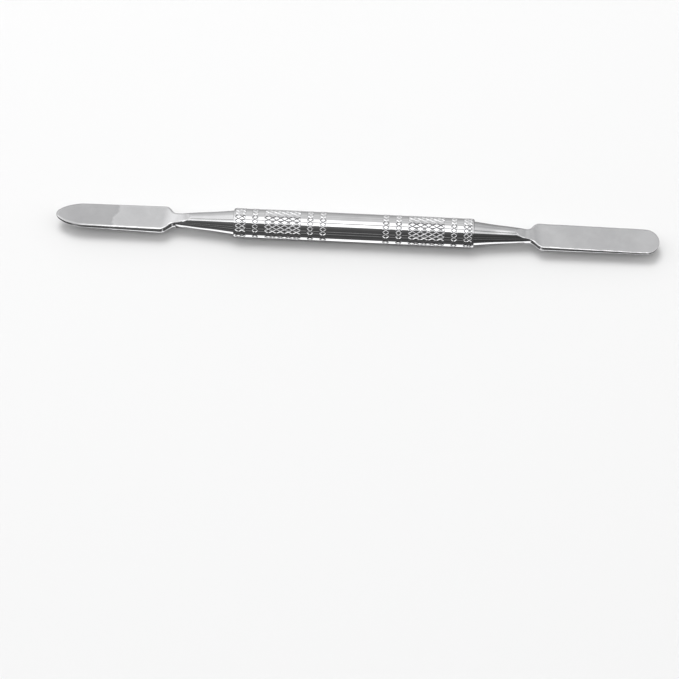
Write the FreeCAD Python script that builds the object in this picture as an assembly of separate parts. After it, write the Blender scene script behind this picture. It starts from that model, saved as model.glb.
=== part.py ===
import FreeCAD, Part
import os
from math import cos, pi, sin, sqrt
from FreeCAD import Vector

# A double-ended steel palette knife: a knurled handle barrel with a blade pressed into each end.
# X runs along the knife towards the round-ended blade, Y across it, Z up.
# The origin is under the middle of the knife, on the surface that it lies on. Lengths are in mm.

# Whole knife
overall_length = 125.6

# Handle barrel
barrel_length = 50.0
barrel_diameter = 5.9
knurl_height = 0.05
diamonds_around = 20
edge_bevel = 0.4
left_band_extra = 0.3
right_band_extra = -0.1
# kind and width of each band from an end inwards; the extras widen the first one at that end
knurl_bands = [("knurl", 2.3), ("land", 1.35), ("knurl", 1.25), ("land", 1.35), ("knurl", 7.5),
               ("land", 1.35), ("knurl", 1.25), ("land", 1.35), ("knurl", 1.35)]

# Tangs and the sockets that hold them
socket_diameter = 3.4
socket_depth = 9.0
tang_gap = 0.3
tang_chamfer = 0.4

# Blades. "reach" is from the barrel's end to the tip, and distances along a blade start at that end.
# Shank stations are (distance, radius). "flat_root" is the (distance, height) where the cuts that
# flatten the shank begin. The squared neck starts at "neck_start" and widens into the blade between
# "flare_start" and "shoulder". Rises are of the blade's middle plane above the barrel's axis.
round_blade = {
    "reach": 38.4,
    "shank": [(0.0, 2.45), (4.0, 2.0), (8.0, 1.66), (11.0, 1.35), (12.6, 1.2)],
    "flat_root": (8.3, 1.8),
    "neck_start": 9.2,
    "flare_start": 10.8,
    "shoulder": 14.1,
    "neck_half_width": 1.2,
    "half_width": 2.99,
    "shoulder_thickness": 1.3,
    "shoulder_rise": -0.34,
    "tip_thickness": 0.5,
    "tip_rise": -0.38,
}
spear_blade = {
    "reach": overall_length - barrel_length - round_blade["reach"],
    "shank": [(0.0, 2.45), (4.0, 2.0), (8.0, 1.66), (12.0, 1.2), (13.6, 1.0)],
    "flat_root": (8.4, 1.8),
    "neck_start": 9.4,
    "flare_start": 11.9,
    "shoulder": 15.0,
    "neck_half_width": 1.2,
    "half_width": 2.9,
    "shoulder_thickness": 1.64,
    "shoulder_rise": -0.3,
    "tip_thickness": 0.9,
    "tip_rise": 0.05,
}
neck_root_half_width = 0.3
blade_blank_height = 2.0
flat_bend = 0.6  # share of the way from the heel back to the flat's root where the cut bends
spear_point_length = 6.0
spear_taper = 0.15
spear_bulge = 0.45  # share of the point's length that keeps its width
spear_nose = 0.5  # share of the half width that the nose's curve starts from

barrel_radius = barrel_diameter / 2
crest_radius = barrel_radius + knurl_height
axis_height = crest_radius
barrel_middle = (overall_length / 2 - round_blade["reach"]) - barrel_length / 2


def axis_point(along, radius):
    return Vector(along, 0, radius)


def revolve(points):
    outline = Part.makePolygon(points + [points[0]])
    return Part.Face(outline).revolve(Vector(0, 0, 0), Vector(1, 0, 0), 360)


def smooth_edge(points):
    curve = Part.BSplineCurve()
    curve.interpolate(points)
    return curve.toShape()


def bezier_edge(points):
    curve = Part.BezierCurve()
    curve.setPoles(points)
    return curve.toShape()


def knurl_band(start, end):
    """A raised band with one flat for each diamond round it, where the knurling's crests reach."""
    turn = 2 * pi / diamonds_around
    corner_radius = crest_radius / cos(turn / 2)
    corners = []
    for k in range(diamonds_around):
        angle = (k + 0.5) * turn
        corners.append(Vector(start, corner_radius * sin(angle), corner_radius * cos(angle)))
    return Part.Face(Part.makePolygon(corners + [corners[0]])).extrude(Vector(end - start, 0, 0))


def end_bands(first_extra):
    """Start and end of each knurled band, from one end of the barrel towards its middle."""
    bands = []
    along = first_extra
    for kind, width in knurl_bands:
        if kind == "knurl":
            bands.append((max(along, edge_bevel), along + width))
        along = along + width
    return bands


def make_barrel():
    outline = [axis_point(0, 0), axis_point(0, barrel_radius - edge_bevel), axis_point(edge_bevel, barrel_radius),
               axis_point(barrel_length - edge_bevel, barrel_radius),
               axis_point(barrel_length, barrel_radius - edge_bevel), axis_point(barrel_length, 0)]
    barrel = revolve(outline)
    for start, end in end_bands(left_band_extra):
        barrel = barrel.fuse(knurl_band(start, end))
    for start, end in end_bands(right_band_extra):
        barrel = barrel.fuse(knurl_band(barrel_length - end, barrel_length - start))
    socket_radius = socket_diameter / 2
    far_end = axis_point(barrel_length, 0)
    left_socket = Part.makeCylinder(socket_radius, socket_depth, axis_point(0, 0), Vector(1, 0, 0))
    right_socket = Part.makeCylinder(socket_radius, socket_depth, far_end, Vector(-1, 0, 0))
    barrel = barrel.cut(left_socket).cut(right_socket).removeSplitter().Solids[0]
    barrel.translate(Vector(barrel_middle - barrel_length / 2, 0, axis_height))
    return barrel


def make_tang():
    radius = socket_diameter / 2
    nose = tang_gap - socket_depth
    points = [axis_point(nose, 0), axis_point(nose, radius - tang_chamfer),
              axis_point(nose + tang_chamfer, radius), axis_point(0, radius), axis_point(0, 0)]
    return revolve(points)


def make_shank(blade):
    stations = [axis_point(along, radius) for along, radius in blade["shank"]]
    ends = Part.makePolygon([stations[-1], axis_point(stations[-1].x, 0), axis_point(0, 0), stations[0]])
    outline = Part.Wire([smooth_edge(stations)] + ends.Edges)
    return Part.Face(outline).revolve(Vector(0, 0, 0), Vector(1, 0, 0), 360)


def flat_cutter(blade, side):
    """What is cut away above (side 1) or below (side -1) the blade and the flats on its shank."""
    wide = 2 * barrel_diameter
    limit = side * barrel_radius
    root_distance, root_radius = blade["flat_root"]
    root = Vector(root_distance, 0, side * root_radius)
    heel = Vector(blade["shoulder"], 0, blade["shoulder_rise"] + side * blade["shoulder_thickness"] / 2)
    point = Vector(blade["reach"], 0, blade["tip_rise"] + side * blade["tip_thickness"] / 2)
    taper = (point - heel).normalize()
    beyond = point + taper
    bend = heel - taper * (heel.x - root.x) * flat_bend
    corners = [beyond, Vector(beyond.x, 0, limit), Vector(root.x, 0, limit), root]
    outline = Part.Wire([bezier_edge([root, bend, heel]), Part.makeLine(heel, beyond)]
                        + Part.makePolygon(corners).Edges)
    cutter = Part.Face(outline).extrude(Vector(0, wide, 0))
    cutter.translate(Vector(0, -wide / 2, 0))
    return cutter


def outline_side(blade, side, tip_edges):
    """One side of the blade seen from above, from inside the neck, out to the shoulder, to the tip."""
    root = Vector(blade["neck_start"], side * neck_root_half_width, 0)
    neck = Vector(blade["flare_start"], side * blade["neck_half_width"], 0)
    shoulder = Vector(blade["shoulder"], side * blade["half_width"], 0)
    swell = Vector((root.x + neck.x) / 2, neck.y, 0)
    middle = (neck.x + shoulder.x) / 2
    flare = bezier_edge([neck, Vector(middle, neck.y, 0), Vector(middle, shoulder.y, 0), shoulder])
    return [bezier_edge([root, swell, neck]), flare] + tip_edges


def round_tip(side):
    blade = round_blade
    width = blade["half_width"]
    centre = blade["reach"] - width
    shoulder = Vector(blade["shoulder"], side * width, 0)
    start = Vector(centre, side * width, 0)
    bulge = Vector(centre + width * sqrt(0.5), side * width * sqrt(0.5), 0)
    end = Vector(blade["reach"], 0, 0)
    return [Part.makeLine(shoulder, start), Part.Arc(start, bulge, end).toShape()]


def spear_tip(side):
    blade = spear_blade
    width = blade["half_width"]
    shoulder = Vector(blade["shoulder"], side * width, 0)
    start = Vector(blade["reach"] - spear_point_length, side * (width - spear_taper), 0)
    poles = [start, Vector(start.x + spear_bulge * spear_point_length, start.y, 0),
             Vector(blade["reach"], side * spear_nose * width, 0), Vector(blade["reach"], 0, 0)]
    return [Part.makeLine(shoulder, start), bezier_edge(poles)]


def make_blade(blade, tip):
    """One blade with its shank and tang, pointing along +X from the barrel's end at the origin."""
    start = blade["neck_start"]
    root = Part.makeLine(Vector(start, -neck_root_half_width, 0), Vector(start, neck_root_half_width, 0))
    near = outline_side(blade, 1, tip(1))
    far = outline_side(blade, -1, tip(-1))
    outline = Part.Wire([root] + near + list(reversed(far)))
    plan = Part.Face(outline).extrude(Vector(0, 0, 2 * blade_blank_height))
    plan.translate(Vector(0, 0, -blade_blank_height))
    blank = make_shank(blade).fuse(plan)
    forged = blank.cut(flat_cutter(blade, 1)).cut(flat_cutter(blade, -1))
    return forged.fuse(make_tang()).removeSplitter().Solids[0]


def main():
    os.makedirs("parts", exist_ok=True)
    barrel = make_barrel()
    round_end = make_blade(round_blade, round_tip)
    round_end.translate(Vector(barrel_middle + barrel_length / 2, 0, axis_height))
    spear_end = make_blade(spear_blade, spear_tip)
    spear_end.rotate(Vector(0, 0, 0), Vector(0, 0, 1), 180)
    spear_end.translate(Vector(barrel_middle - barrel_length / 2, 0, axis_height))
    pieces = {"handle_barrel": barrel, "round_blade": round_end, "spear_blade": spear_end}
    for name, shape in pieces.items():
        shape.exportStep("parts/" + name + ".step")
        box = shape.BoundBox
        print(name, shape.isValid(), len(shape.Solids), round(shape.Volume, 1),
              round(box.XMin, 2), round(box.XMax, 2), round(box.YMin, 2), round(box.YMax, 2),
              round(box.ZMin, 2), round(box.ZMax, 2))


main()
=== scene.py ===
from math import atan2, cos, hypot, pi, radians, sin, sqrt

import bmesh
import bpy
from mathutils import Matrix, Vector, noise


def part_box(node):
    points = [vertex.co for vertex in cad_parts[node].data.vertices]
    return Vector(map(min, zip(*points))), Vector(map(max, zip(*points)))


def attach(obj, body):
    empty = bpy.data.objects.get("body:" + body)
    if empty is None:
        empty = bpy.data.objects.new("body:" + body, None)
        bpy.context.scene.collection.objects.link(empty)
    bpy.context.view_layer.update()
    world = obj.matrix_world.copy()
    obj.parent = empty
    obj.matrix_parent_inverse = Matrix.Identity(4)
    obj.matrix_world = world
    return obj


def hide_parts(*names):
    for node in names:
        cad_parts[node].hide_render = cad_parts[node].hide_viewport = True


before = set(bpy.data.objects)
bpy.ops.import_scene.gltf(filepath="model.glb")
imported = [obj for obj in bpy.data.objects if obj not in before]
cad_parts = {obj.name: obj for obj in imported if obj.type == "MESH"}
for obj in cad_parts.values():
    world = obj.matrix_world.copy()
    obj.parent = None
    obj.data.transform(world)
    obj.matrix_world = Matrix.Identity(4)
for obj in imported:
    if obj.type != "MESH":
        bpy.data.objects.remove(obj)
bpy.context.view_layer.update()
mm = 0.001  # the pieces' sizes are in mm, and their finished meshes are in metres
weldDistance = 0.002  # vertices closer than this are merged in a finished piece
barrelLow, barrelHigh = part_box("handle_barrel")
axisHeight = (barrelLow.z + barrelHigh.z) / 2 / mm
barrelEnds = (barrelLow.x / mm, barrelHigh.x / mm)
crestRadius = (barrelHigh.z - barrelLow.z) / 2 / mm
print("frame loaded, barrel axis", round(axisHeight, 2), "mm above the floor")


def placePiece(bm, name, node, material, turn=0.0, along=0.0):
    bmesh.ops.remove_doubles(bm, verts=bm.verts, dist=weldDistance)
    bmesh.ops.recalc_face_normals(bm, faces=bm.faces)
    place = Matrix.Translation((along, 0, axisHeight)) @ Matrix.Rotation(turn, 4, "Z")
    bmesh.ops.transform(bm, matrix=Matrix.Scale(mm, 4) @ place, verts=bm.verts)
    for face in bm.faces:
        face.smooth = True
    mesh = bpy.data.meshes.new(name)
    bm.to_mesh(mesh)
    bm.free()
    piece = bpy.data.objects.new(name, mesh)
    bpy.context.scene.collection.objects.link(piece)
    mesh.materials.append(material)
    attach(piece, "root")
    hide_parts(node)
    print(name, "made,", len(mesh.polygons), "faces")


def mix(a, b, share):
    return a + (b - a) * share


def clamped(share):
    return min(1.0, max(0.0, share))


def halfChord(radius, height):
    # half the width of a circle at this height from its middle
    return sqrt(max(radius ** 2 - height ** 2, 0))


def spinProfile(bm, points, steps):
    verts = [bm.verts.new((x, 0, r)) for x, r in points]
    edges = [bm.edges.new(pair) for pair in zip(verts, verts[1:])]
    before = set(bm.faces)
    bmesh.ops.spin(bm, geom=verts + edges, cent=(0, 0, 0), axis=(1, 0, 0), steps=steps,
                   angle=2 * pi, use_merge=True)
    return [face for face in bm.faces if face not in before]


def combined(owner, operation, *values):
    # a math node of a material or a world, fed with numbers and with other nodes' outputs
    node = owner.node_tree.nodes.new("ShaderNodeMath")
    node.operation = operation
    for socket, value in zip(node.inputs, values):
        if isinstance(value, (int, float)):
            socket.default_value = value
        else:
            owner.node_tree.links.new(value, socket)
    return node.outputs["Value"]


def steelMaterial(name, look):
    material = bpy.data.materials.new(name)
    material.use_nodes = True
    nodes = material.node_tree.nodes
    links = material.node_tree.links
    shader = nodes["Principled BSDF"]
    shader.inputs["Metallic"].default_value = 1.0
    place = nodes.new("ShaderNodeTexCoord")

    stretch = nodes.new("ShaderNodeMapping")  # fine lines left by the polishing wheel
    stretch.inputs["Scale"].default_value = look["lineStretch"]
    lines = nodes.new("ShaderNodeTexNoise")
    lines.inputs["Scale"].default_value = 1.0
    lines.inputs["Detail"].default_value = 3.0
    links.new(place.outputs["Object"], stretch.inputs["Vector"])
    links.new(stretch.outputs["Vector"], lines.inputs["Vector"])

    smudge = nodes.new("ShaderNodeTexNoise")  # finger marks and a faint film
    smudge.inputs["Scale"].default_value = look["smudgeScale"]
    smudge.inputs["Detail"].default_value = 5.0
    smudge.inputs["Roughness"].default_value = 0.6
    links.new(place.outputs["Object"], smudge.inputs["Vector"])

    tone = nodes.new("ShaderNodeValToRGB")
    tone.color_ramp.elements[0].position = 0.35
    tone.color_ramp.elements[1].position = 0.62
    tone.color_ramp.elements[0].color = (*look["film"], 1)
    tone.color_ramp.elements[1].color = (*look["steel"], 1)
    links.new(smudge.outputs["Fac"], tone.inputs["Fac"])
    links.new(tone.outputs["Color"], shader.inputs["Base Color"])

    gloss = nodes.new("ShaderNodeMapRange")
    gloss.inputs["From Min"].default_value = 0.3
    gloss.inputs["From Max"].default_value = 0.7
    gloss.inputs["To Min"].default_value = look["roughness"][1]
    gloss.inputs["To Max"].default_value = look["roughness"][0]
    links.new(smudge.outputs["Fac"], gloss.inputs["Value"])
    links.new(gloss.outputs["Result"], shader.inputs["Roughness"])

    # painted shade: the tip half gets a darker base colour, standing in for a darker reflection of the
    # room
    if "paintedShadeEdge" in look:
        addPaintedShade(material, place, tone.outputs["Color"], look)

    bump = nodes.new("ShaderNodeBump")
    bump.inputs["Strength"].default_value = look["lineStrength"]
    bump.inputs["Distance"].default_value = 0.00001
    links.new(lines.outputs["Fac"], bump.inputs["Height"])
    links.new(bump.outputs["Normal"], shader.inputs["Normal"])
    return material


def addPaintedShade(material, place, colour, look):
    # painted shade: a darker reflection painted into the base colour beyond an uneven border across the
    # piece
    nodes = material.node_tree.nodes
    links = material.node_tree.links
    split = nodes.new("ShaderNodeSeparateXYZ")
    links.new(place.outputs["Object"], split.inputs["Vector"])
    uneven = nodes.new("ShaderNodeTexNoise")
    uneven.inputs["Scale"].default_value = look["paintedShadeScale"]
    uneven.inputs["Detail"].default_value = 4.0
    links.new(place.outputs["Object"], uneven.inputs["Vector"])
    slant = combined(material, "MULTIPLY_ADD", split.outputs["Y"], look["paintedShadeSlant"], split.outputs["X"])
    edge = combined(material, "MULTIPLY_ADD", uneven.outputs["Fac"], look["paintedShadeSpread"], slant)
    mask = nodes.new("ShaderNodeMapRange")
    mask.interpolation_type = "SMOOTHSTEP"
    middle = look["paintedShadeEdge"] + look["paintedShadeSpread"] / 2
    mask.inputs["From Min"].default_value = middle - look["paintedShadeBlur"]
    mask.inputs["From Max"].default_value = middle + look["paintedShadeBlur"]
    mask.inputs["To Min"].default_value = look["paintedShadeTone"]
    mask.inputs["To Max"].default_value = 1.0
    links.new(edge, mask.inputs["Value"])
    dim = nodes.new("ShaderNodeMix")
    dim.data_type = "RGBA"
    dim.blend_type = "MULTIPLY"
    dim.inputs[0].default_value = 1.0
    links.new(colour, dim.inputs[6])
    links.new(mask.outputs["Result"], dim.inputs[7])
    links.new(dim.outputs[2], nodes["Principled BSDF"].inputs["Base Color"])


bladeLook = {
    "steel": (0.74, 0.74, 0.75),
    "film": (0.66, 0.66, 0.67),
    "roughness": (0.05, 0.11),
    "smudgeScale": 140.0,
    "lineStretch": (60.0, 5000.0, 5000.0),  # polished lengthways
    "lineStrength": 0.08,
}
handleLook = {
    "steel": (0.77, 0.77, 0.78),
    "film": (0.70, 0.70, 0.71),
    "roughness": (0.04, 0.08),
    "smudgeScale": 220.0,
    "lineStretch": (6000.0, 200.0, 200.0),  # polished on a lathe, so the lines go round
    "lineStrength": 0.06,
}
spearLook = {
    **bladeLook,
    "paintedShadeEdge": -0.0506,  # where the painted shade (a darker reflection painted on the tip half) starts along the knife, in metres
    "paintedShadeSlant": -0.6,
    "paintedShadeScale": 380.0,
    "paintedShadeSpread": 0.012,
    "paintedShadeBlur": 0.0009,
    "paintedShadeTone": 0.76,
}
bladeSteel = steelMaterial("polishedBladeSteel", bladeLook)
# this steel carries a painted shade, a darker reflection painted on the spear blade's tip half
spearSteel = steelMaterial("paintedShadeBladeSteel", spearLook)
handleSteel = steelMaterial("polishedHandleSteel", handleLook)
print("three steels made")

barrel = {
    "length": barrelEnds[1] - barrelEnds[0],
    "knurlHeight": 0.05,
    # bands from each end to the plain middle: kind, width, and half diamonds along a knurled one
    "bands": [("knurl", 2.3, 3), ("land", 1.35), ("knurl", 1.25, 2), ("land", 1.35), ("knurl", 7.5, 9),
              ("land", 1.35), ("knurl", 1.25, 2), ("land", 1.35), ("knurl", 1.35, 2)],
    "firstBandExtra": (0.3, -0.1),  # how much wider the first band is at the left and right end
    "diamondsAround": 20,
    "plainSteps": 120,
    "grooveDepth": 0.12,
    "grooveHalfWidth": 0.13,
    "crownDrop": 0.008,  # from a diamond's centre down to its shoulders
    "borderDrop": 0.05,  # from a diamond's centre down to the band's edge
    "borderGap": 0.05,  # from a band's edge to the plain stretch beside it
    "rowGap": 0.03,  # from a plain stretch's end to its next row
    "borderWeld": 0.0005,
    "endRound": 0.4,
    "endDrop": 0.03,
    "endSteps": 5,
    "socketRadius": 1.7,
    "socketDepth": 9.0,
    "socketChamfer": 0.15,
}


def unique(items):
    # each item once, in the order met
    return list(dict.fromkeys(items))


def setRadius(verts, radius):
    for vert in verts:
        share = radius / hypot(vert.co.y, vert.co.z)
        vert.co.y *= share
        vert.co.z *= share


def makeKnurl(bm, start, end, columns):
    halfSteps = 2 * barrel["diamondsAround"]
    cell = (end - start) / columns
    points = [(start + cell * i, crestRadius) for i in range(columns + 1)]
    faces = spinProfile(bm, points, halfSteps)
    verts = unique(vert for face in faces for vert in face.verts)

    def column(vert):
        return round((vert.co.x - start) / cell)

    def onGroove(vert):
        turn = round(atan2(vert.co.y, vert.co.z) / (2 * pi / halfSteps))
        return (column(vert) + turn) % 2 == 1

    for face in faces:
        a, b = [vert for vert in face.verts if onGroove(vert)]
        bmesh.utils.face_split(face, a, b)
    grooves = [vert for vert in verts if onGroove(vert)]
    crowns = [vert for vert in verts if not onGroove(vert) and 0 < column(vert) < columns]
    borders = [vert for vert in verts if not onGroove(vert) and column(vert) in (0, columns)]
    spokes = unique(edge for vert in borders for edge in vert.link_edges if not edge.is_boundary)
    bmesh.ops.dissolve_edges(bm, edges=spokes, use_verts=False)
    bmesh.ops.dissolve_verts(bm, verts=[vert for vert in crowns if vert.is_valid])
    diamonds = unique(face for vert in grooves for face in vert.link_faces)
    bmesh.ops.inset_individual(bm, faces=diamonds, thickness=barrel["grooveHalfWidth"],
                               use_even_offset=True)
    shoulders = unique(vert for face in diamonds for vert in face.verts)
    for vert in grooves + shoulders:
        for edge in vert.link_edges:
            edge.smooth = False
    centres = bmesh.ops.poke(bm, faces=diamonds)["verts"]
    setRadius(grooves, crestRadius - barrel["grooveDepth"])
    setRadius([vert for vert in borders if vert.is_valid], crestRadius - barrel["borderDrop"])
    setRadius(shoulders, crestRadius - barrel["crownDrop"])
    setRadius(centres, crestRadius)


def endProfile():
    # from the floor of a socket, out along its bore, over the barrel's rounded end to the first band
    rounding = barrel["endRound"]
    bore = barrel["socketRadius"]
    depth = barrel["socketDepth"]
    chamfer = barrel["socketChamfer"]
    profile = [(depth, 0), (depth, bore), (chamfer, bore), (0, bore + chamfer)]
    for k in range(barrel["endSteps"] + 1):
        turn = pi / 2 * k / barrel["endSteps"]
        x = (rounding - barrel["borderGap"]) * (1 - cos(turn))
        profile.append((x, crestRadius - rounding + (rounding - barrel["endDrop"]) * sin(turn)))
    return profile


def plainProfile(start, end):
    # the second row at each end keeps the shading between them flat
    low = start + barrel["borderGap"]
    high = end - barrel["borderGap"]
    plain = crestRadius - barrel["knurlHeight"]
    return [(x, plain) for x in (low, low + barrel["rowGap"], high - barrel["rowGap"], high)]


def makeBarrel():
    bm = bmesh.new()
    length = barrel["length"]
    middleEnds = []
    for flip, extra in zip((False, True), barrel["firstBandExtra"]):
        segments = [endProfile()]
        along = extra
        for kind, width, *columns in barrel["bands"]:
            end = along + width
            if kind == "knurl":
                start = max(along, barrel["endRound"])
                span = (length - end, length - start) if flip else (start, end)
                makeKnurl(bm, *span, columns[0])
            else:
                segments.append(plainProfile(along, end))
            along = end
        for points in segments:
            if flip:
                points = [(length - x, radius) for x, radius in reversed(points)]
            spinProfile(bm, points, barrel["plainSteps"])
        middleEnds.append(length - along if flip else along)
    spinProfile(bm, plainProfile(*middleEnds), barrel["plainSteps"])
    bmesh.ops.remove_doubles(bm, verts=bm.verts, dist=barrel["borderWeld"])
    joinBorders(bm)
    placePiece(bm, "knurledHandle", "handle_barrel", handleSteel, along=barrelEnds[0])


def joinBorders(bm):
    # bridges each pair of open edges that face each other along the barrel
    borders = {}
    for edge in bm.edges:
        if edge.is_boundary:
            x = round(sum(vert.co.x for vert in edge.verts) / 2, 3)
            borders.setdefault(x, []).append(edge)
    places = sorted(borders)
    for near, far in zip(places[::2], places[1::2]):
        bmesh.ops.bridge_loops(bm, edges=borders[near] + borders[far])


makeBarrel()

# distances along a blade start at the barrel's end, and heights are above the barrel's axis
roundBlade = {
    "reach": 38.4,
    "shank": [(0.0, 2.45), (4.0, 2.0), (8.0, 1.66), (11.0, 1.35), (12.6, 1.2)],
    "flatRoot": (8.3, 1.8),
    "neckStart": 9.2,
    "flareStart": 10.8,
    "shoulder": 14.1,
    "neckHalfWidth": 1.2,
    "halfWidth": 2.99,
    "shoulderThickness": 1.3,
    "shoulderRise": -0.34,
    "tipThickness": 0.5,
    "tipRise": -0.38,
    "edge": (0.32, 0.26),  # how far the rounded edge reaches in, at the shoulder and at the tip
    "topWaver": 0.8,
    "skew": -0.5,  # how much further out the shoulder lies on one side than in the middle
    "straightPoints": 44,
    "tipPoints": 20,
}
spearBlade = {
    "reach": 37.2,
    "shank": [(0.0, 2.45), (4.0, 2.0), (8.0, 1.66), (12.0, 1.2), (13.6, 1.0)],
    "flatRoot": (8.4, 1.8),
    "neckStart": 9.4,
    "flareStart": 11.9,
    "shoulder": 15.0,
    "neckHalfWidth": 1.2,
    "halfWidth": 2.9,
    "shoulderThickness": 1.64,
    "shoulderRise": -0.3,
    "tipThickness": 0.9,
    "tipRise": 0.05,
    "edge": (0.42, 0.42),
    "topWaver": 0.25,
    "skew": 0.45,
    "pointLength": 6.0,
    "pointTaper": 0.15,
    "pointBulge": 2.7,  # how much of the point keeps its width
    "pointNose": 0.5,  # share of the half width that the nose's curve starts from
    "straightPoints": 34,
    "tipPoints": 22,
}
neckRootHalfWidth = 0.3
tang = {"radius": 1.7, "length": 8.7, "chamfer": 0.4}
section = {
    "neckStep": 0.3,
    "neckPoints": 12,
    "flarePoints": 22,
    "topRows": 6,
    "edgeRows": 5,
    "sideRows": 9,
    "flatBend": 0.6,  # share of the way from the heel back to the flat's root where the flat bends
    "crownAngle": 4.0,  # how far the round shank's crown reaches to each side, in degrees
    "edgeShare": 0.7,
    "edgeDrop": (0.42, 2.0),  # how steeply the edge falls away, above and below
    "overhangBlur": 0.3,
    "waver": 0.9,  # how unevenly the edge is ground
    "waverPitch": 0.9,
    "waverApart": 9.0,  # how far apart the top and the bottom read the same noise
    "thinning": 0.5,
    "thinLength": 5.0,
    "skewFade": 9.0,
    "leastHalfWidth": 0.001,
}


def bezier(poles, t):
    points = [Vector(pole) for pole in poles]
    while len(points) > 1:
        points = [a.lerp(b, t) for a, b in zip(points, points[1:])]
    return points[0]


def smoothCurve(stations, x):
    # a Catmull-Rom curve through the stations
    first = stations[0]
    last = stations[-1]
    if x <= first[0]:
        return first[1]
    if x >= last[0]:
        return last[1]
    i = max(k for k in range(len(stations) - 1) if stations[k][0] <= x)
    before = stations[max(i - 1, 0)]
    a = stations[i]
    b = stations[i + 1]
    after = stations[min(i + 2, len(stations) - 1)]
    span = b[0] - a[0]
    slopeA = (b[1] - before[1]) / (b[0] - before[0])
    slopeB = (after[1] - a[1]) / (after[0] - a[0])
    t = (x - a[0]) / span
    return ((2 * t ** 3 - 3 * t ** 2 + 1) * a[1] + (t ** 3 - 2 * t ** 2 + t) * span * slopeA
            + (3 * t ** 2 - 2 * t ** 3) * b[1] + (t ** 3 - t ** 2) * span * slopeB)


def shankRadius(blade, x):
    return smoothCurve(blade["shank"], x) if x < blade["shoulder"] else 0.0


def flatHeight(blade, side, x):
    # height of the top (side 1) or bottom (side -1) flat above the axis
    rootX, rootHeight = blade["flatRoot"]
    heel = Vector((blade["shoulder"], blade["shoulderRise"] + side * blade["shoulderThickness"] / 2))
    point = Vector((blade["reach"], blade["tipRise"] + side * blade["tipThickness"] / 2))
    slope = (point.y - heel.y) / (point.x - heel.x)
    if x >= heel.x:
        thin = max(0.0, 1 - (blade["reach"] - x) / section["thinLength"]) if side < 0 else 0.0
        return heel.y + slope * (x - heel.x) + section["thinning"] * blade["tipThickness"] * thin ** 2
    if x <= rootX:
        return side * (rootHeight + rootX - x)
    reach = section["flatBend"] * (heel.x - rootX)
    bendX = heel.x - reach
    bendHeight = heel.y - slope * reach
    # where the quadratic curve root, bend, heel passes x
    a = rootX - 2 * bendX + heel.x
    b = 2 * (bendX - rootX)
    c = rootX - x
    t = (-b + sqrt(b * b - 4 * a * c)) / (2 * a)
    return (1 - t) ** 2 * side * rootHeight + 2 * t * (1 - t) * bendHeight + t * t * heel.y


def planOutline(blade, tipPoints):
    # (along, half width) from inside the neck to the tip
    root = (blade["neckStart"], neckRootHalfWidth)
    neck = (blade["flareStart"], blade["neckHalfWidth"])
    shoulder = (blade["shoulder"], blade["halfWidth"])
    swell = ((root[0] + neck[0]) / 2, neck[1])
    middle = (neck[0] + shoulder[0]) / 2
    flarePoles = [neck, (middle, neck[1]), (middle, shoulder[1]), shoulder]
    neckPoints = section["neckPoints"]
    flarePoints = section["flarePoints"]
    squaring = [bezier([root, swell, neck], k / neckPoints) for k in range(neckPoints)]
    flare = [bezier(flarePoles, k / flarePoints) for k in range(flarePoints)]
    return squaring + flare + [Vector(point) for point in tipPoints]


def straightSide(blade, endX, endWidth):
    points = blade["straightPoints"]
    shoulder = (blade["shoulder"], blade["halfWidth"])
    return [(mix(shoulder[0], endX, k / points), mix(shoulder[1], endWidth, k / points))
            for k in range(points)]


def roundTip():
    blade = roundBlade
    width = blade["halfWidth"]
    centre = blade["reach"] - width
    steps = blade["tipPoints"]
    turns = [k * pi / 2 / steps for k in range(steps + 1)]
    tip = [(centre + width * sin(turn), width * cos(turn)) for turn in turns]
    return straightSide(blade, centre, width) + tip


def spearTip():
    blade = spearBlade
    width = blade["halfWidth"]
    start = blade["reach"] - blade["pointLength"]
    endWidth = width - blade["pointTaper"]
    poles = [(start, endWidth), (start + blade["pointBulge"], endWidth),
             (blade["reach"], blade["pointNose"] * width), (blade["reach"], 0)]
    steps = blade["tipPoints"]
    tip = [tuple(bezier(poles, k / steps)) for k in range(steps + 1)]
    return straightSide(blade, start, endWidth) + tip


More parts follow.
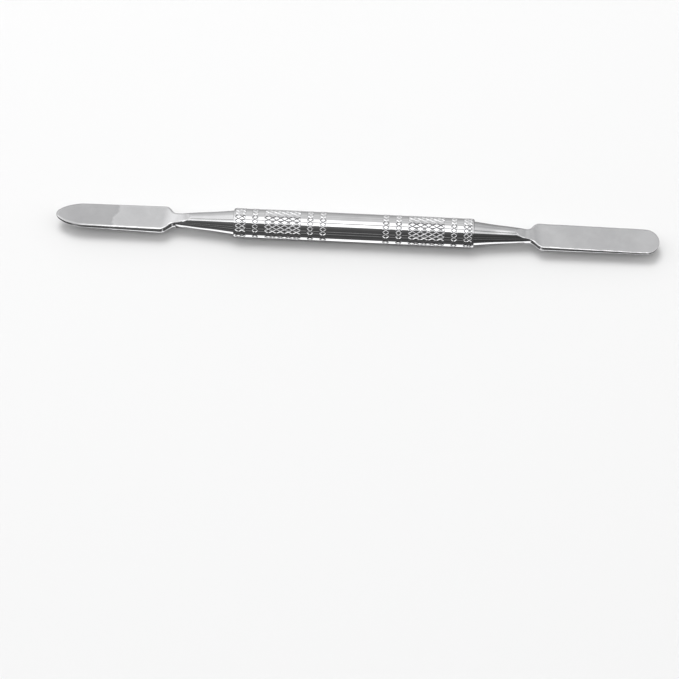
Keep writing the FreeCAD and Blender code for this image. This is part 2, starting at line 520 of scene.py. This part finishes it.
def quarterRing(blade, place, normal, side):
    # from the middle of the top (side 1) or the bottom (side -1) round to the waist, and the waist point
    x, flare = place
    radius = shankRadius(blade, x)
    flat = side * flatHeight(blade, side, x)
    crown = radius * cos(radians(section["crownAngle"]))
    cover = min(1.0, flare / radius) ** 2 if radius else 1.0
    roof = min(flat, mix(crown, flat, cover)) if cover < 1.0 else flat
    roundEdge = halfChord(radius, min(roof, crown))
    edge = max(flare, roundEdge)
    out = clamped((x - blade["shoulder"]) / (blade["reach"] - blade["shoulder"]))
    level = side * mix(blade["shoulderRise"], blade["tipRise"], out)
    settle = clamped((x - blade["flatRoot"][0]) / (blade["shoulder"] - blade["flatRoot"][0]))
    level *= settle * settle * (3 - 2 * settle)
    cut = 0.0  # how squarely the side falls away from the flat's edge
    if roof == flat:
        overhang = clamped(0.5 + (flare - roundEdge) / section["overhangBlur"])
        cut = mix(1 - min(1.0, roof / radius) ** 2, 1.0, overhang) if radius else 1.0
    spot = Vector((x / section["waverPitch"], side * section["waverApart"], blade["reach"]))
    waver = noise.noise(spot)
    waver *= section["waver"] * (blade["topWaver"] if side > 0 else 1.0)
    inset = mix(*blade["edge"], out) * cut * (1 + waver)
    if roof == flat:
        roof = flat = side * flatHeight(blade, side, x - inset * normal.x)
    drop = min(inset * section["edgeDrop"][side < 0], section["edgeShare"] * (roof - level))
    points = []
    rows = section["topRows"]
    for k in range(rows):
        y = max(edge - inset * normal.y, 0.0) * (1 - (1 - k / (rows - 1)) ** 3)
        z = roof if roof == flat else roof + (1 - cover) * (halfChord(radius, y) - crown)
        points.append(Vector((x - inset * normal.x, y, side * z)))
    rows = section["edgeRows"]
    for k in range(1, rows):
        turn = pi / 2 * k / rows
        offset = inset * (1 - sin(turn))
        z = roof - drop * (1 - cos(turn))
        points.append(Vector((x - offset * normal.x, edge - offset * normal.y, side * z)))
    rows = section["sideRows"]
    for k in range(rows):
        z = mix(level, roof - drop, cos(pi / 2 * k / rows))
        y = max(flare, halfChord(radius, z))
        points.append(Vector((x, max(y, edge) if k == 0 else y, side * z)))
    waist = Vector((x, max(flare, halfChord(radius, level)), side * level))
    return points, waist


def halfRing(blade, place, normal):
    top, waist = quarterRing(blade, place, normal, 1)
    bottom, _ = quarterRing(blade, place, normal, -1)
    return top + [waist] + list(reversed(bottom))


def ringNormals(outline):
    normals = []
    for i, point in enumerate(outline):
        before = outline[max(i - 1, 0)]
        after = outline[i + 1] if i + 1 < len(outline) else Vector((before.x, -before.y))
        run = (after - before).normalized()
        normals.append(Vector((-run.y, run.x)))
    return normals


def tangRings(root):
    # the blade's first ring, shrunk to the tang at three places
    end = -tang["length"]
    stations = [(end, tang["radius"] - tang["chamfer"]), (end + tang["chamfer"], tang["radius"]),
                (0, tang["radius"])]
    rings = []
    for x, radius in stations:
        shares = [radius / hypot(point.y, point.z) for point in root]
        rings.append([Vector((x, point.y * share, point.z * share)) for point, share in zip(root, shares)])
    return rings


def bladeRings(blade, tipPoints):
    step = section["neckStep"]
    shank = [Vector((step * k, 0.0)) for k in range(int(blade["neckStart"] / step))]
    places = shank + planOutline(blade, tipPoints)
    widths = []
    for place in places:
        radius = shankRadius(blade, place.x)
        height = min(abs(flatHeight(blade, 1, place.x)), radius)
        least = section["leastHalfWidth"] if place.x < blade["shoulder"] else 0.0
        widths.append(Vector((place.x, max(place.y, halfChord(radius, height), least))))
    rings = []
    for place, normal in zip(places, ringNormals(widths)):
        rings.append(halfRing(blade, place, -normal if normal.y < 0 else normal))
    return rings


def makeBlade(blade, tipPoints, name, node, material, turn, along):
    bm = bmesh.new()
    rings = bladeRings(blade, tipPoints)
    previous = None
    for ring in tangRings(rings[0]) + rings:
        left = [Vector((p.x, -p.y, p.z)) for p in reversed(ring[1:-1])]
        loop = [bm.verts.new(p) for p in ring + left]
        edges = [bm.edges.new((a, b)) for a, b in zip(loop, loop[1:] + loop[:1])]
        if previous:
            bmesh.ops.bridge_loops(bm, edges=previous + edges)
        else:
            bmesh.ops.edgeloop_fill(bm, edges=edges)
        for edge in edges:
            edge.smooth = ring[0].x > 0
        previous = edges
    for vert in bm.verts:
        rise = clamped((vert.co.x - blade["neckStart"]) / (blade["flareStart"] - blade["neckStart"]))
        fall = clamped(1 - (vert.co.x - blade["shoulder"]) / section["skewFade"])
        vert.co.x += blade["skew"] * vert.co.y / blade["halfWidth"] * rise * fall
    placePiece(bm, name, node, material, turn=turn, along=along)


makeBlade(roundBlade, roundTip(), "roundEndBlade", "round_blade", bladeSteel, 0.0, barrelEnds[1])
makeBlade(spearBlade, spearTip(), "spearEndBlade", "spear_blade", spearSteel, pi, barrelEnds[0])

# the stage, the room and the lamp are in metres
stage = {
    "floorSize": 3.0,
    "floorTone": 0.8,
    "cameraPlace": (0.01356, -0.26513, 0.40276),
    "cameraLook": (-0.03345, 0.51118, -0.85882),
    "cameraRoll": -0.5,
    "lens": 122.17,
    "sensorWidth": 36.0,
}


def makeFloor():
    bm = bmesh.new()
    bmesh.ops.create_grid(bm, x_segments=1, y_segments=1, size=stage["floorSize"] / 2)
    mesh = bpy.data.meshes.new("floor")
    bm.to_mesh(mesh)
    bm.free()
    floor = bpy.data.objects.new("floor", mesh)
    bpy.context.scene.collection.objects.link(floor)
    paint = bpy.data.materials.new("paleFloor")
    paint.use_nodes = True
    shader = paint.node_tree.nodes["Principled BSDF"]
    tone = stage["floorTone"]
    shader.inputs["Base Color"].default_value = (tone, tone, tone, 1)
    shader.inputs["Roughness"].default_value = 0.9
    shader.inputs["Specular IOR Level"].default_value = 0.1
    mesh.materials.append(paint)
    floor.visible_glossy = False  # the polished steel mirrors the room only


def makeCamera():
    look = Vector(stage["cameraLook"]).normalized()
    turn = look.to_track_quat("-Z", "Y").to_matrix().to_4x4()
    data = bpy.data.cameras.new("camera")
    data.lens = stage["lens"]
    data.sensor_width = stage["sensorWidth"]
    camera = bpy.data.objects.new("camera", data)
    camera.matrix_world = (Matrix.Translation(stage["cameraPlace"]) @ turn
                           @ Matrix.Rotation(radians(stage["cameraRoll"]), 4, "Z"))
    bpy.context.scene.collection.objects.link(camera)
    bpy.context.scene.camera = camera


# the room's brightness by angle round the knife: 0 is the front, 90 overhead, 180 behind, minus below
room = {
    "bands": [(-180, 0.48), (-140, 0.4), (-124, 0.25), (-122, 0.1), (-58, 0.10), (-14, 0.06),
              (-12.5, 0.3), (-10, 0.3), (-8.5, 0.07), (8.5, 0.07), (10, 0.3), (12.5, 0.3),
              (14, 0.06), (54, 0.12), (62, 1.6), (66, 1.0), (79, 1.0), (80.5, 0.32), (85.5, 0.32),
              (87, 1.0), (106, 0.98), (112, 0.88), (122, 0.83), (150, 0.7), (180, 0.5)],
    # two bright strips overhead, and how far they reach to each side before they fade
    "panel": [(-180, 0), (60, 0), (63, 1.0), (78, 1.0), (80, 0), (86, 0), (88, 1.0), (103, 1.0),
              (110, 0), (180, 0)],
    "panelHalfWidth": (0.13, 0.22),
    # the bright surface under the knife
    "below": [(-180, 0), (-124, 0), (-121, 1.4), (-62, 1.4), (-59, 0), (180, 0)],
    "belowHalfWidth": (0.25, 0.4),
    # dimmer light past both ends of the strips
    "sides": [(-180, 0), (46, 0), (54, 0.25), (102, 0.25), (112, 0), (180, 0)],
    "sidesFrom": (0.28, 0.42),
    "leftGlow": 0.2,
    "leftGlowReach": 0.15,
    "patchiness": 0.35,
    "patchRange": (0.3, 0.7),
    "patchScale": 5.0,
}


def angleCurve(world, share, points):
    curve = world.node_tree.nodes.new("ShaderNodeFloatCurve")
    line = curve.mapping.curves[0]
    top = max(level for _, level in points)
    places = [((degrees + 180) / 360, level / top) for degrees, level in points]
    line.points[0].location = places[0]
    line.points[1].location = places[-1]
    for place in places[1:-1]:
        line.points.new(*place)
    for point in line.points:
        point.handle_type = "VECTOR"
    curve.mapping.update()
    world.node_tree.links.new(share, curve.inputs["Value"])
    return combined(world, "MULTIPLY", curve.outputs["Value"], top)


def ranged(world, value, fromRange, toRange):
    span = world.node_tree.nodes.new("ShaderNodeMapRange")
    span.inputs["From Min"].default_value = fromRange[0]
    span.inputs["From Max"].default_value = fromRange[1]
    span.inputs["To Min"].default_value = toRange[0]
    span.inputs["To Max"].default_value = toRange[1]
    world.node_tree.links.new(value, span.inputs["Value"])
    return span.outputs["Result"]


def makeRoom():
    world = bpy.data.worlds.new("room")
    bpy.context.scene.world = world
    world.use_nodes = True
    nodes = world.node_tree.nodes
    links = world.node_tree.links
    place = nodes.new("ShaderNodeTexCoord")
    split = nodes.new("ShaderNodeSeparateXYZ")
    links.new(place.outputs["Generated"], split.inputs["Vector"])
    front = combined(world, "MULTIPLY", split.outputs["Y"], -1.0)
    angle = combined(world, "ARCTAN2", split.outputs["Z"], front)
    share = ranged(world, angle, (-pi, pi), (0, 1))

    patches = nodes.new("ShaderNodeTexNoise")
    patches.inputs["Scale"].default_value = room["patchScale"]
    patches.inputs["Detail"].default_value = 1.0
    links.new(place.outputs["Generated"], patches.inputs["Vector"])
    uneven = room["patchiness"] / 2
    patchy = ranged(world, patches.outputs["Fac"], room["patchRange"], (1 - uneven, 1 + uneven))
    reach = room["leftGlowReach"]
    glow = ranged(world, split.outputs["X"], (-reach, reach), (1 + room["leftGlow"], 1 - room["leftGlow"]))
    bands = combined(world, "MULTIPLY", angleCurve(world, share, room["bands"]), glow)
    total = combined(world, "MULTIPLY", bands, patchy)

    across = combined(world, "ABSOLUTE", split.outputs["X"])
    limits = {"panel": ("panelHalfWidth", (1, 0)), "below": ("belowHalfWidth", (1, 0)),
              "sides": ("sidesFrom", (0, 1))}
    for part, (limit, levels) in limits.items():
        within = ranged(world, across, room[limit], levels)
        light = combined(world, "MULTIPLY", angleCurve(world, share, room[part]), within)
        total = combined(world, "ADD", total, light)
    sky = nodes["Background"]
    sky.inputs["Color"].default_value = (1, 1, 1, 1)
    links.new(total, sky.inputs["Strength"])


softLamp = {"place": (-0.15, 0.35, 0.9), "size": 0.5, "power": 4.0}


def makeLamp():
    data = bpy.data.lights.new("softLamp", "AREA")
    data.shape = "DISK"
    data.size = softLamp["size"]
    data.energy = softLamp["power"]
    lamp = bpy.data.objects.new("softLamp", data)
    place = Vector(softLamp["place"])
    lamp.matrix_world = Matrix.Translation(place) @ (-place).to_track_quat("-Z", "Y").to_matrix().to_4x4()
    lamp.visible_glossy = False
    bpy.context.scene.collection.objects.link(lamp)


makeFloor()
makeCamera()
makeRoom()
makeLamp()
bpy.context.scene.view_settings.view_transform = "Standard"
print("stage ready")
